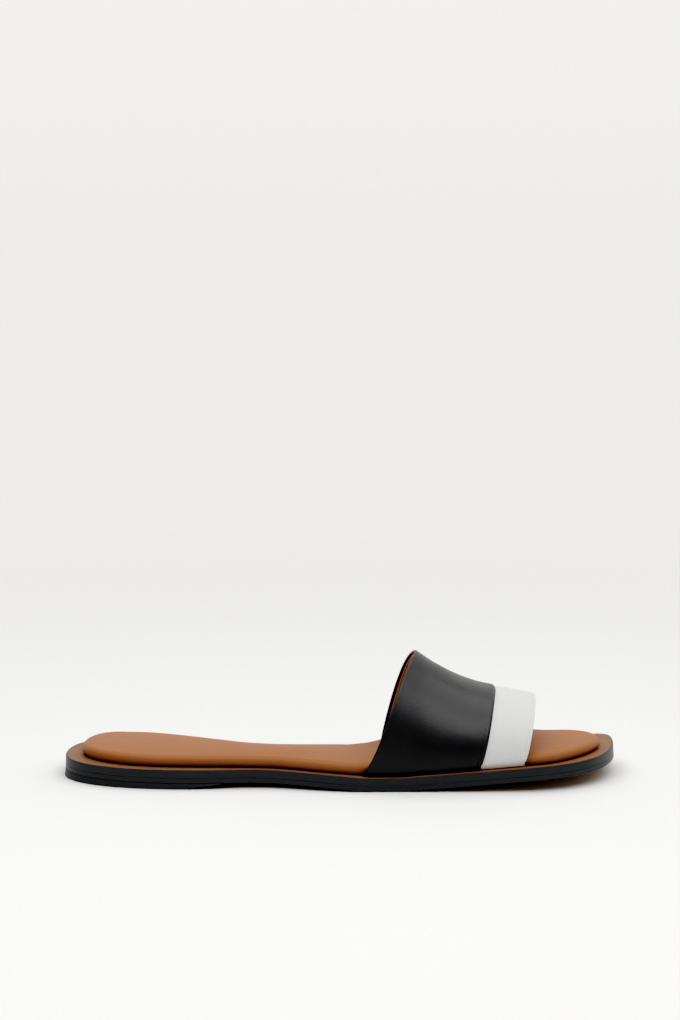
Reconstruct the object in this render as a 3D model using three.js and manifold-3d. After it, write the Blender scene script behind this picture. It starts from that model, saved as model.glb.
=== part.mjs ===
// Flat leather slide for the right foot, in millimetres: a padded footbed on a two-layer leather sole
// with a low heel lift, under one broad band. X runs from heel to toe, Y to the inner side, Z up.
import * as THREE from "three";
import { mergeVertices } from "three/addons/utils/BufferGeometryUtils.js";
import Module from "manifold-3d";

const wasm = await Module();
wasm.setup();

// Driving sizes
const soleLength = 264.6;
const ballWidth = 80;
const heelRise = 3.5; // underside of the outsole above the floor, at the heel
const toeSpring = 7.4; // the same, at the toe
const outsoleThickness = 2.5;
const midsoleThickness = 3.5;
const footbedThickness = 5.4;
const footbedCrown = 0.8; // how much higher the padding stands in the middle
const rimWidth = 6; // midsole left bare beside the footbed
const heelRim = 7.8; // the same, behind its heel end
const toeRim = 7.7; // and in front of its toe end
const liftTaper = 0.7; // thickness left at the front of the heel lift
const liftFlare = 0.4; // how far the heel lift spreads at the floor
const instepHeight = 50.8; // inside of the band above the midsole, at the rear of the crest
const bandInset = 2.4; // outer face of the band, in from the sole's edge
const liningThickness = 1;
const darkThickness = 1.2;
const lightThickness = 0.7;
const lastingMargin = 9; // band leather folded in under the footbed
const foldRadius = 1; // where the band's lining turns in onto the midsole
const sideBulge = 1.6; // how far the sides of the band swell outward
const brokenEdge = 0.4; // bevel on the sole's leathers
const padRound = 4.4; // radius of the footbed's edge
const padTuck = 1.1; // how far that edge turns back in under the pad
const clearance = 0.3; // between pieces that touch

// Sole sections. at: share of the sole length; outer, inner: edges from the axis, share of the ball width;
// lift, spring: how much of the heel rise and of the toe spring the underside has there.
const soleSections = [
  { at: 0.0, outer: 0.355, inner: 0.473, lift: 1, spring: 0 },
  { at: 0.085, outer: 0.356, inner: 0.473, lift: 0.88, spring: 0 },
  { at: 0.12, outer: 0.357, inner: 0.47, lift: 0.842, spring: 0 },
  { at: 0.15, outer: 0.358, inner: 0.459, lift: 0.818, spring: 0 },
  { at: 0.185, outer: 0.36, inner: 0.4215, lift: 0.8, spring: 0 },
  { at: 0.24, outer: 0.362, inner: 0.336, lift: 0.785, spring: 0 },
  { at: 0.288, outer: 0.353, inner: 0.25, lift: 0.77, spring: 0 },
  { at: 0.347, outer: 0.338, inner: 0.161, lift: 0.735, spring: 0 },
  { at: 0.38, outer: 0.344, inner: 0.144, lift: 0.69, spring: 0 },
  { at: 0.412, outer: 0.364, inner: 0.152, lift: 0.62, spring: 0 },
  { at: 0.45, outer: 0.395, inner: 0.177, lift: 0.51, spring: 0 },
  { at: 0.5, outer: 0.426, inner: 0.222, lift: 0.31, spring: 0 },
  { at: 0.535, outer: 0.433, inner: 0.276, lift: 0.1, spring: 0 },
  { at: 0.555, outer: 0.432, inner: 0.323, lift: 0, spring: 0 },
  { at: 0.57, outer: 0.431, inner: 0.367, lift: 0, spring: 0 },
  { at: 0.6, outer: 0.43, inner: 0.439, lift: 0, spring: 0 },
  { at: 0.64, outer: 0.433, inner: 0.506, lift: 0, spring: 0.12 },
  { at: 0.68, outer: 0.436, inner: 0.552, lift: 0, spring: 0.235 },
  { at: 0.704, outer: 0.438, inner: 0.562, lift: 0, spring: 0.31 },
  { at: 0.735, outer: 0.439, inner: 0.557, lift: 0, spring: 0.405 },
  { at: 0.772, outer: 0.439, inner: 0.532, lift: 0, spring: 0.52 },
  { at: 0.81, outer: 0.438, inner: 0.502, lift: 0, spring: 0.635 },
  { at: 0.85, outer: 0.436, inner: 0.475, lift: 0, spring: 0.73 },
  { at: 0.887, outer: 0.432, inner: 0.455, lift: 0, spring: 0.79 },
  { at: 0.925, outer: 0.429, inner: 0.441, lift: 0, spring: 0.85 },
  { at: 0.962, outer: 0.425, inner: 0.433, lift: 0, spring: 0.915 },
  { at: 1.0, outer: 0.42, inner: 0.427, lift: 0, spring: 1 },
];

// How each end is rounded off. centre: its middle from the axis; reach: how far back the rounding starts,
// both as shares of the ball width; power: 2 is round and more is squarer.
const soleEnds = {
  heel: { centre: 0.088, outer: { reach: 0.75, power: 2.3 }, inner: { reach: 0.24, power: 2.3 } },
  toe: { centre: 0.275, outer: { reach: 0.65, power: 2.35 }, inner: { reach: 0.13, power: 3 } },
};
const footbedEnds = {
  heel: { centre: 0.1, outer: { reach: 0.62, power: 2.2 }, inner: { reach: 0.21, power: 2.2 } },
  toe: { centre: 0.06, outer: { reach: 0.44, power: 1.6 }, inner: { reach: 0.235, power: 2.3 } },
};

// Bare rim along the sole, as shares of the rim width on each side.
const rimSections = [
  { at: 0.0, outer: 1.0, inner: 0.85 },
  { at: 0.18, outer: 1.02, inner: 0.8 },
  { at: 0.27, outer: 0.9, inner: 0.72 },
  { at: 0.35, outer: 0.64, inner: 0.68 },
  { at: 0.45, outer: 0.62, inner: 0.75 },
  { at: 0.52, outer: 0.74, inner: 0.85 },
  { at: 0.55, outer: 0.95, inner: 0.93 },
  { at: 0.59, outer: 1.0, inner: 1.0 },
  { at: 0.82, outer: 0.98, inner: 1.12 },
  { at: 0.85, outer: 0.8, inner: 1.3 },
  { at: 0.885, outer: 0.62, inner: 1.75 },
  { at: 1.0, outer: 0.6, inner: 1.8 },
];

// The band along its length. at: 0 at its rear edge and 1 at its front edge; outer, crest, inner: where it
// stands along the sole, share of the sole length.
const bandSections = [
  { at: 0, outer: 0.5415, crest: 0.6335, inner: 0.58 },
  { at: 0.668, outer: 0.747, crest: 0.78, inner: 0.763 },
  { at: 1, outer: 0.824, crest: 0.8515, inner: 0.835 },
];
const seamAlong = 0.668; // where the two leathers of the band meet
const crestShift = 0.05; // crest towards the inner side, share of the ball width
const edgeCurve = { outer: 0.66, inner: 0.65 }; // below 1, the edges lean forward most near the rim
const crestEase = 0.06; // how softly they turn over the crest, share of the way up a side
const sideSquareness = 2.5;

// Height of the band's crest along its length, as shares of the instep height.
const crestSections = [
  { at: 0.0, crest: 1.0 },
  { at: 0.12, crest: 0.888 },
  { at: 0.22, crest: 0.808 },
  { at: 0.32, crest: 0.736 },
  { at: 0.43, crest: 0.671 },
  { at: 0.53, crest: 0.624 },
  { at: 0.63, crest: 0.59 },
  { at: 0.73, crest: 0.562 },
  { at: 0.83, crest: 0.529 },
  { at: 0.93, crest: 0.502 },
  { at: 1.0, crest: 0.48 },
];

// Heel lift along the sole, as shares of the sole length
const liftFlat = 0.212; // where it stops lying on the floor
const liftEnd = 0.292; // where it stops

// Facets
const outlineSteps = 52; // along each side of the sole
const outlineCrowding = 0.62; // 0 spaces them evenly, 1 crowds them round the ends
const wallSteps = 13; // from the rim to the crest, on each side of the band
const wallCrowding = 1.35; // above 1, closer together near the rim
const darkSteps = 9; // along the dark leather
const lightSteps = 4; // along the light leather

const lerp = THREE.MathUtils.lerp;
const clamp = THREE.MathUtils.clamp;

// A smooth curve through one column of a table. It never overshoots its rows, and goes on straight past
// the first and the last.
function columnCurve(rows, column) {
  const last = rows.length - 1;
  const rate = (i) => (rows[i + 1][column] - rows[i][column]) / (rows[i + 1].at - rows[i].at);
  const slopes = rows.map((_, i) => {
    if (i === 0) return rate(0);
    if (i === last) return rate(last - 1);
    const [before, after] = [rate(i - 1), rate(i)];
    return before * after <= 0 ? 0 : (2 * before * after) / (before + after);
  });
  return (at) => {
    if (at <= rows[0].at) return rows[0][column] + slopes[0] * (at - rows[0].at);
    if (at >= rows[last].at) return rows[last][column] + slopes[last] * (at - rows[last].at);
    const i = rows.findIndex((row) => row.at > at) - 1;
    const span = rows[i + 1].at - rows[i].at;
    const u = (at - rows[i].at) / span;
    const v = 1 - u;
    return (
      v * v * (1 + 2 * u) * rows[i][column] +
      u * u * (1 + 2 * v) * rows[i + 1][column] +
      u * v * span * (v * slopes[i] - u * slopes[i + 1])
    );
  };
}

const lift = columnCurve(soleSections, "lift");
const spring = columnCurve(soleSections, "spring");
const crestShare = columnCurve(crestSections, "crest");
const columnCurves = (rows, ...columns) =>
  Object.fromEntries(columns.map((column) => [column, columnCurve(rows, column)]));
const edges = columnCurves(soleSections, "outer", "inner");
const rims = columnCurves(rimSections, "outer", "inner");
const bandPlaces = columnCurves(bandSections, "outer", "crest", "inner");
const signs = { outer: -1, inner: 1 };

// Levels of the sole at a place along it
const underside = (x) => heelRise * lift(x / soleLength) + toeSpring * spring(x / soleLength);
const outsoleTop = (x) => underside(x) + outsoleThickness;
const midsoleBottom = (x) => outsoleTop(x) + clearance;
const midsoleTop = (x) => midsoleBottom(x) + midsoleThickness;
const footbedBottom = (x) => midsoleTop(x) + clearance;

// 0 at the very end of a shape, 1 where its rounding stops
function endRounding(distance, { reach, power }) {
  const u = clamp(distance / (reach * ballWidth), 0, 1);
  return Math.pow(1 - Math.pow(1 - u, power), 1 / power);
}

// Where a shape's edge lies across the axis, on one side, a margin inside the sole's sides
function edgeAt(x, side, { from, to, ends, margin }) {
  const straight = (place) => signs[side] * edges[side](place / soleLength) * ballWidth;
  const slope = (straight(x + 1) - straight(x - 1)) / 2;
  const y = straight(x) - signs[side] * margin(x, side) * Math.hypot(1, slope);
  const heeled = lerp(ends.heel.centre * ballWidth, y, endRounding(x - from, ends.heel[side]));
  return lerp(ends.toe.centre * ballWidth, heeled, endRounding(to - x, ends.toe[side]));
}

const soleShape = { from: 0, to: soleLength, ends: soleEnds, margin: () => 0 };
const footbedShape = {
  from: heelRim,
  to: soleLength - toeRim,
  ends: footbedEnds,
  margin: (x, side) => rimWidth * rims[side](x / soleLength),
};

// One side of a shape's edge as points from heel to toe, closer together round both ends
function sidePoints(side, shape) {
  const fine = 2000;
  const dense = Array.from({ length: fine + 1 }, (_, i) => {
    const x = lerp(shape.from, shape.to, (1 - Math.cos((Math.PI * i) / fine)) / 2);
    return new THREE.Vector2(x, edgeAt(x, side, shape));
  });
  const reached = [0];
  for (let i = 1; i <= fine; i++) reached.push(reached[i - 1] + dense[i].distanceTo(dense[i - 1]));
  let k = 0;
  return Array.from({ length: outlineSteps + 1 }, (_, i) => {
    const t = i / outlineSteps;
    const goal = reached[fine] * (t - (outlineCrowding * Math.sin(2 * Math.PI * t)) / (2 * Math.PI));
    while (k < fine - 1 && reached[k + 1] < goal) k++;
    return dense[k].clone().lerp(dense[k + 1], (goal - reached[k]) / (reached[k + 1] - reached[k]));
  });
}

// A shape's whole edge as one loop: out along the outer side, back along the inner side. Each place knows
// the direction straight into the shape.
function outlineOf(shape) {
  const loop = [...sidePoints("outer", shape), ...sidePoints("inner", shape).slice(1, -1).reverse()];
  return loop.map((point, i) => {
    const along = loop[(i + 1) % loop.length].clone().sub(loop[(i + loop.length - 1) % loop.length]);
    along.normalize();
    return { point, inward: new THREE.Vector2(-along.y, along.x) };
  });
}

const insetPoint = (place, inset) => place.point.clone().addScaledVector(place.inward, inset);

// Turns rings of equal length into triangles, joins the ends of each ring and drops collapsed triangles.
function geometryFromRings(rings, capFirst = [], capLast = []) {
  const size = rings[0].length;
  const index = [];
  for (let r = 0; r + 1 < rings.length; r++) {
    for (let i = 0; i < size; i++) {
      const [a, b] = [r * size + i, r * size + ((i + 1) % size)];
      index.push(a, b + size, b, a, a + size, b + size);
    }
  }
  const last = (rings.length - 1) * size;
  index.push(...capFirst, ...capLast.map((i) => i + last));
  const geometry = new THREE.BufferGeometry().setFromPoints(rings.flat());
  const merged = mergeVertices(geometry.setIndex(index), 1e-3);
  const kept = [];
  for (let t = 0; t < merged.index.count; t += 3) {
    const [a, b, c] = [0, 1, 2].map((n) => merged.index.getX(t + n));
    if (a !== b && b !== c && c !== a) kept.push(a, b, c);
  }
  merged.setIndex(kept);
  merged.computeVertexNormals();
  return merged;
}

// A sheet of the sole, with its walls square to the sole's slope. profile: rings from the upper face,
// round the edge, to the lower face, each with an inset and a height function of x. crown: how much
// higher the middle of the upper face stands.
function soleLayer(shape, profile, crown = 0) {
  const rungs = [0.66, 0.33, 0];
  const outline = outlineOf(shape);
  const ringAt = ({ inset, height }) =>
    outline.map((place) => {
      const p = insetPoint(place, inset);
      const slope = underside(p.x + 1) - underside(p.x);
      const z = height(p.x);
      return new THREE.Vector3(p.x + slope * (midsoleTop(p.x) - z), p.y, z);
    });
  const edge = profile.map(ringAt);
  // Rungs run from a ring in to the middle line, halfway between the two sides.
  const rungRing = (ring, { height }, share, raised) =>
    ring.map((p, i) => {
      const opposite = ring[(ring.length - i) % ring.length];
      const q = opposite.clone().lerp(p, (1 + share) / 2);
      q.z = height(q.x) + raised * (1 - share * share);
      return q;
    });
  const [first, last] = [0, profile.length - 1];
  const upper = rungs.map((share) => rungRing(edge[first], profile[first], share, crown)).reverse();
  const lower = rungs.map((share) => rungRing(edge[last], profile[last], share, 0));
  return geometryFromRings([...upper, ...edge, ...lower]);
}

// Plain leather layer with a slightly broken edge above and below. flare: how far its side spreads
// towards the lower face.
function leatherLayer(top, bottom, flare = 0) {
  return soleLayer(soleShape, [
    { inset: brokenEdge, height: top },
    { inset: 0, height: (x) => top(x) - brokenEdge },
    { inset: 0, height: (x) => lerp(bottom(x), top(x), 0.5) },
    { inset: -flare, height: (x) => bottom(x) + brokenEdge },
    { inset: brokenEdge - flare, height: bottom },
  ]);
}

const toSolid = (geometry) =>
  new wasm.Manifold(
    new wasm.Mesh({
      numProp: 3,
      vertProperties: geometry.attributes.position.array,
      triVerts: new Uint32Array(geometry.index.array),
    }),
  );

function fromSolid(solid) {
  const mesh = solid.getMesh();
  const geometry = new THREE.BufferGeometry();
  geometry.setAttribute("position", new THREE.BufferAttribute(mesh.vertProperties, mesh.numProp));
  geometry.setIndex(new THREE.BufferAttribute(mesh.triVerts, 1));
  geometry.computeVertexNormals();
  return geometry;
}

// Heel lift: flat on the floor under the heel, then curving up to a thin front edge
function liftBottom(x) {
  const u = clamp((x / soleLength - liftFlat) / (liftEnd - liftFlat), 0, 1);
  return (underside(x) - clearance - liftTaper) * u * u * (3 - 2 * u);
}

function heelLiftGeometry() {
  const body = toSolid(leatherLayer((x) => underside(x) - clearance, liftBottom, liftFlare));
  const side = soleLength;
  const box = new THREE.BoxGeometry(side, side, side).translate(liftEnd * soleLength - side / 2, 0, 0);
  box.deleteAttribute("normal");
  box.deleteAttribute("uv");
  return fromSolid(body.intersect(toSolid(mergeVertices(box))));
}

// Inside of the band's foot on the midsole, in from the sole's edge
const wallInset = bandInset + darkThickness + clearance + liningThickness;

// Where the band's inner face meets the rim, on one side
function featherAt(x, side) {
  return edgeAt(x, side, { ...soleShape, margin: () => wallInset });
}

// How far forward an edge of the band has leaned, from 0 at the rim to 1 at the crest
function leanShare(angle, side) {
  const left = 1 - (2 * angle) / Math.PI;
  const eased = (Math.hypot(left, crestEase) - crestEase) / (Math.hypot(1, crestEase) - crestEase);
  return Math.pow(1 - eased, edgeCurve[side]);
}

// A point on the band's inner face. along: 0 at the rear edge, 1 at the front edge. stop: side, and either
// how far the fold reaches in under the footbed, or the angle up the side from rim to crest.
function bandInnerFace(along, stop) {
  const xFoot = bandPlaces[stop.side](along) * soleLength;
  const seat = (x) => footbedBottom(x) + liningThickness;
  if (stop.reach !== undefined) {
    const y = featherAt(xFoot, stop.side) - signs[stop.side] * stop.reach;
    return new THREE.Vector3(xFoot, y, seat(xFoot));
  }
  const rise = Math.pow(Math.sin(stop.angle), 2 / sideSquareness);
  const outward = Math.pow(Math.max(Math.cos(stop.angle), 0), 2 / sideSquareness);
  const xCrest = bandPlaces.crest(along) * soleLength;
  const x = lerp(xFoot, xCrest, leanShare(stop.angle, stop.side));
  const middle = (edgeAt(xCrest, "outer", soleShape) + edgeAt(xCrest, "inner", soleShape)) / 2;
  const yCrest = middle + crestShift * ballWidth;
  const bulge = signs[stop.side] * sideBulge * Math.sin(Math.PI * Math.pow(rise, 0.8));
  const y = lerp(yCrest, featherAt(xFoot, stop.side), outward) + bulge;
  const zFoot = seat(xFoot) + foldRadius;
  const zCrest = midsoleTop(xCrest) + instepHeight * crestShare(along);
  return new THREE.Vector3(x, y, lerp(zFoot, zCrest, rise));
}

// The band's path across the foot, from one folded margin over the crest to the other
function bandStops(reach) {
  const shares = Array.from({ length: wallSteps + 1 }, (_, i) => Math.pow(i / wallSteps, wallCrowding));
  const angles = shares.map((share) => (Math.PI / 2) * share);
  const half = (side) => [
    ...[reach, reach / 2, foldRadius].map((r) => ({ side, reach: r })),
    ...angles.map((angle) => ({ side, angle })),
  ];
  return [...half("outer"), ...half("inner").reverse().slice(1)];
}

const marginStops = 3; // how many of those places are on each folded margin

// A sheet that lies from `inside` to `outside` off the band's inner face. rows: places along the band.
// An unfolded sheet has no margin and stops on the rim.
function bandSheet({ rows, inside, outside, reach = lastingMargin, folded = true }) {
  const stops = bandStops(reach);
  const faces = rows.map((along) => {
    const step = 0.002; // small enough to give the surface's own direction
    const [behind, here, ahead] = [along - step, along, along + step].map((place) =>
      stops.map((stop) => bandInnerFace(place, stop)),
    );
    return here.map((p, j) => {
      const over = here[Math.min(j + 1, stops.length - 1)].clone().sub(here[Math.max(j - 1, 0)]);
      const normal = ahead[j].clone().sub(behind[j]).cross(over).normalize();
      return [inside, outside].map((offset) => p.clone().addScaledVector(normal, offset));
    });
  });
  const kept = folded ? faces : faces.map((row) => row.slice(marginStops, -marginStops));
  const count = kept[0].length;
  if (!folded) {
    for (const p of kept.flatMap((row) => [...row[0], ...row[count - 1]])) p.z = footbedBottom(p.x);
  }
  const rings = kept.map((row) => [...row.map((pair) => pair[1]), ...row.map((pair) => pair[0]).reverse()]);
  const near = [];
  for (let j = 0; j + 1 < count; j++) {
    const [p, q, r, t] = [j, j + 1, 2 * count - 2 - j, 2 * count - 1 - j];
    near.push(p, q, r, p, r, t);
  }
  const far = near.map((_, i) => near[i - (i % 3) + (2 - (i % 3))]);
  return geometryFromRings(rings, near, far);
}

// Places along the band, shared by the lining and the leathers over it so that their facets agree
const bandLength = (bandPlaces.outer(1) - bandPlaces.outer(0)) * soleLength;
const gapAlong = clearance / bandLength;
const spread = (from, to, steps) => Array.from({ length: steps + 1 }, (_, i) => lerp(from, to, i / steps));
const darkRows = spread(0, seamAlong, darkSteps);
const lightRows = spread(seamAlong + gapAlong, 1, lightSteps);

function footbedGeometry() {
  const fullest = 0.3; // share of the thickness below the fullest line of the edge
  const roll = [90, 62, 40, 20, 0].map((degrees) => {
    const angle = THREE.MathUtils.degToRad(degrees);
    return {
      inset: padRound * (1 - Math.cos(angle)),
      height: (x) => footbedBottom(x) + footbedThickness * lerp(fullest, 1, Math.sin(angle)),
    };
  });
  const tuck = [
    { inset: 0.3 * padTuck, height: (x) => footbedBottom(x) + 0.3 * fullest * footbedThickness },
    { inset: padTuck, height: footbedBottom },
  ];
  const pad = toSolid(soleLayer(footbedShape, [...roll, ...tuck], footbedCrown));
  // Room for the band's folded margin and walls
  const room = bandSheet({
    rows: spread(-gapAlong, 1 + gapAlong, darkSteps),
    inside: -clearance,
    outside: liningThickness + 2 * clearance,
    reach: lastingMargin + clearance,
  });
  return fromSolid(pad.subtract(toSolid(room)));
}

const lining = { rows: [...darkRows, ...lightRows], inside: 0, outside: liningThickness };
const overlay = { inside: liningThickness + clearance, folded: false };
const darkPanel = { ...overlay, rows: darkRows, outside: overlay.inside + darkThickness };
const lightPanel = { ...overlay, rows: lightRows, outside: overlay.inside + lightThickness };

function piece(name, geometry, color, roughness) {
  const mesh = new THREE.Mesh(geometry, new THREE.MeshStandardMaterial({ color, roughness, metalness: 0 }));
  mesh.name = name;
  return mesh;
}

const sandal = new THREE.Group();
sandal.add(
  piece("outsole", leatherLayer(outsoleTop, underside), 0x17181a, 0.5),
  piece("midsole", leatherLayer(midsoleTop, midsoleBottom), 0x1a1a1b, 0.5),
  piece("heel_lift", heelLiftGeometry(), 0x1c1d1e, 0.6),
  piece("footbed", footbedGeometry(), 0xb57a52, 0.5),
  piece("upper", bandSheet(lining), 0xa9683f, 0.6),
  piece("dark_panel", bandSheet(darkPanel), 0x1d1d1f, 0.35),
  piece("light_panel", bandSheet(lightPanel), 0xe4e3e2, 0.45),
);

// The origin is on the floor, under the middle of the sandal's own box.
const box = new THREE.Box3().setFromObject(sandal, true);
const middle = box.getCenter(new THREE.Vector3());
sandal.position.set(-middle.x, -middle.y, -box.min.z);

const model = new THREE.Group();
model.add(sandal);

export default model;
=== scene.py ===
import math
import bpy
import numpy as np
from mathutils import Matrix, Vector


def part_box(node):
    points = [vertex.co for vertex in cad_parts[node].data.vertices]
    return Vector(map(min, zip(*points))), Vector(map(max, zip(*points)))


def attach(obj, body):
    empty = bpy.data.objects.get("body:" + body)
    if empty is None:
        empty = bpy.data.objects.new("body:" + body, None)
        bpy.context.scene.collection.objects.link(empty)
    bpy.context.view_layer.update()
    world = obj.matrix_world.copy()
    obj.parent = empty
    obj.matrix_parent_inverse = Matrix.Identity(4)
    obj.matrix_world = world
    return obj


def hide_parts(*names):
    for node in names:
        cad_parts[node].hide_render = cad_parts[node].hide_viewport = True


# Right-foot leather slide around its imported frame. Sizes are in millimetres until toFrame() turns them to metres.

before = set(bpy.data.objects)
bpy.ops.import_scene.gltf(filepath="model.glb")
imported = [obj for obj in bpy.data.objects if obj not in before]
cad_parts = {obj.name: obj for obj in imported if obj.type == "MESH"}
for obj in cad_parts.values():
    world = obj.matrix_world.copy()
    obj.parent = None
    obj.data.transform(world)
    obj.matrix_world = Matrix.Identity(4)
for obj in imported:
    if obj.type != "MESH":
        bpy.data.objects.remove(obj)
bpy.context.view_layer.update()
mm = 0.001


def lerp(a, b, t):
    return a + (b - a) * t


def ease(t):
    # Smooth step: 3t^2 - 2t^3 between 0 and 1
    t = np.clip(t, 0, 1)
    return t * t * (3 - 2 * t)


def bell(x, centre, width):
    # exp(-(x - centre)^2 / width^2)
    return np.exp(-(((x - centre) / width) ** 2))


# Sections along the sole. at: share of its length; outer, inner: sides from the axis, share of the ball
# width; lift, spring: how much of the heel rise and of the toe spring the underside has there.
sole = {
    "length": 264.6,
    "ballWidth": 80,
    "heelRise": 3.5,
    "toeSpring": 7.4,
    "outsole": 2.5,
    "midsole": 3.5,
    "gap": 0.3,
    "columns": ("at", "outer", "inner", "lift", "spring"),
    "sections": [
        (0, 0.355, 0.473, 1, 0),
        (0.085, 0.356, 0.473, 0.88, 0),
        (0.12, 0.357, 0.47, 0.842, 0),
        (0.15, 0.358, 0.459, 0.818, 0),
        (0.185, 0.36, 0.4215, 0.8, 0),
        (0.24, 0.362, 0.336, 0.785, 0),
        (0.288, 0.353, 0.25, 0.77, 0),
        (0.347, 0.338, 0.161, 0.735, 0),
        (0.38, 0.344, 0.144, 0.69, 0),
        (0.412, 0.364, 0.152, 0.62, 0),
        (0.45, 0.395, 0.177, 0.51, 0),
        (0.5, 0.426, 0.222, 0.31, 0),
        (0.535, 0.433, 0.276, 0.1, 0),
        (0.555, 0.432, 0.323, 0, 0),
        (0.57, 0.431, 0.367, 0, 0),
        (0.6, 0.43, 0.439, 0, 0),
        (0.64, 0.433, 0.506, 0, 0.12),
        (0.68, 0.436, 0.552, 0, 0.235),
        (0.704, 0.438, 0.562, 0, 0.31),
        (0.735, 0.439, 0.557, 0, 0.405),
        (0.772, 0.439, 0.532, 0, 0.52),
        (0.81, 0.438, 0.502, 0, 0.635),
        (0.85, 0.436, 0.475, 0, 0.73),
        (0.887, 0.432, 0.455, 0, 0.79),
        (0.925, 0.429, 0.441, 0, 0.85),
        (0.962, 0.425, 0.433, 0, 0.915),
        (1, 0.42, 0.427, 0, 1),
    ],
    # Rounding of each end: its middle from the axis and how far back it reaches, shares of the ball width
    "heel": {"centre": 0.088, "outer": (0.75, 2.3), "inner": (0.24, 2.3)},
    "toe": {"centre": 0.275, "outer": (0.65, 2.35), "inner": (0.13, 3)},
}

# Padded footbed. Its rim is the bare midsole beside it, share of the rim width along the sole.
pad = {
    "thickness": 5.4,
    "crown": 0.8,
    "rim": 5.6,
    "heelRim": 7.8,
    "toeRim": 7.7,
    "round": 3.6,
    "fullest": 0.42,
    "squareness": 2.4,
    "tuck": 1.7,
    "columns": ("at", "outer", "inner"),
    "rimSections": [
        (0, 1, 0.85),
        (0.18, 1.02, 0.8),
        (0.27, 0.9, 0.72),
        (0.35, 0.64, 0.68),
        (0.45, 0.62, 0.75),
        (0.52, 0.74, 0.85),
        (0.55, 0.95, 0.93),
        (0.59, 1, 1),
        (0.82, 0.98, 1.12),
        (0.85, 0.8, 1.3),
        (0.885, 0.62, 1.75),
        (1, 0.6, 1.8),
    ],
    "heel": {"centre": 0.1, "outer": (0.62, 2.2), "inner": (0.21, 2.2)},
    "toe": {"centre": 0.06, "outer": (0.44, 1.6), "inner": (0.235, 2.3)},
    "toeThinner": 0.5,  # how much lower its top lies in front of the band
    "overMargin": 1.4,  # how far its underside rides up on the band's folded margin
    "swell": {"outer": 0.35, "inner": 2.1},  # how far its top rises there
    "swellFrom": {"outer": (-9, 2), "inner": (-17, 4)},  # from where to where, from the band's rear rim
}

# Band across the foot. Its places along the sole are shares of the sole's length; crest is the height of
# its middle line, share of the instep height.
band = {
    "instep": 50.8,
    "inset": 2.4,
    "lining": 1,
    "dark": 1.2,
    "light": 0.7,
    "margin": 9,
    "foldRadius": 1,
    "bulge": 0.3,
    "squareness": 2.35,
    "seam": 0.668,
    "crestShift": 0.05,
    "crestEase": 0.045,
    "lean": {"outer": 0.6, "inner": 1.36},
    "tuckDepth": 1.3,  # how far the outer leathers turn in at the rim
    "tuckHeight": 3.2,
    "placeColumns": ("at", "outer", "crest", "inner"),
    "places": [
        (0, 0.5392, 0.6306, 0.5772),
        (0.668, 0.747, 0.78, 0.763),
        (1, 0.824, 0.8515, 0.835),
    ],
    "crestColumns": ("at", "crest"),
    "crest": [
        (0, 1.004),
        (0.12, 0.886),
        (0.22, 0.804),
        (0.32, 0.729),
        (0.43, 0.661),
        (0.53, 0.614),
        (0.63, 0.584),
        (0.73, 0.558),
        (0.83, 0.528),
        (0.93, 0.502),
        (1, 0.48),
    ],
}


def columnCurves(columns, rows):
    # Monotone cubic through each column: a row's slope is the harmonic mean of the rates on its two sides,
    # and the curve goes on straight past the first and the last row
    table = np.array(rows, float).T
    at = table[0]

    def curveOf(value):
        rate = np.diff(value) / np.diff(at)
        product = rate[:-1] * rate[1:]
        total = np.where(product > 0, rate[:-1] + rate[1:], 1)
        slope = np.concatenate([rate[:1], np.where(product > 0, 2 * product / total, 0), rate[-1:]])

        def curve(place):
            place = np.asarray(place, float)
            i = np.clip(np.searchsorted(at, place, side="right") - 1, 0, len(at) - 2)
            span = at[i + 1] - at[i]
            t = (place - at[i]) / span
            u = np.clip(t, 0, 1)
            v = 1 - u
            inside = v * v * (1 + 2 * u) * value[i] + u * u * (1 + 2 * v) * value[i + 1]
            inside += u * v * span * (v * slope[i] - u * slope[i + 1])
            return inside + np.where(t < 0, slope[i], slope[i + 1]) * (t - u) * span

        return curve

    return {name: curveOf(value) for name, value in zip(columns[1:], table[1:])}


soleCurves = columnCurves(sole["columns"], sole["sections"])
rimCurves = columnCurves(pad["columns"], pad["rimSections"])
placeCurves = columnCurves(band["placeColumns"], band["places"])
crestCurve = columnCurves(band["crestColumns"], band["crest"])["crest"]
length, ballWidth = sole["length"], sole["ballWidth"]
signs = {"outer": -1, "inner": 1}


def underside(x):
    return sole["heelRise"] * soleCurves["lift"](x / length) + sole["toeSpring"] * soleCurves["spring"](x / length)


def outsoleTop(x):
    return underside(x) + sole["outsole"]


def midsoleBottom(x):
    return outsoleTop(x) + sole["gap"]


def midsoleTop(x):
    return midsoleBottom(x) + sole["midsole"]


def footbedBottom(x):
    return midsoleTop(x) + sole["gap"]


def endRounding(distance, reach, power):
    # Quarter superellipse: 0 at the very end, 1 where the rounding stops
    u = np.clip(distance / (reach * ballWidth), 0, 1)
    return (1 - (1 - u) ** power) ** (1 / power)


def edgeAt(x, side, shape):
    # The sole's side, moved in by the shape's margin square to itself, then drawn to each end's middle
    def straight(place):
        return signs[side] * soleCurves[side](place / length) * ballWidth

    slope = (straight(x + 1) - straight(x - 1)) / 2
    y = straight(x) - signs[side] * shape["margin"](x, side) * np.hypot(1, slope)
    heeled = lerp(shape["heel"]["centre"] * ballWidth, y, endRounding(x - shape["from"], *shape["heel"][side]))
    return lerp(shape["toe"]["centre"] * ballWidth, heeled, endRounding(shape["to"] - x, *shape["toe"][side]))


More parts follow.
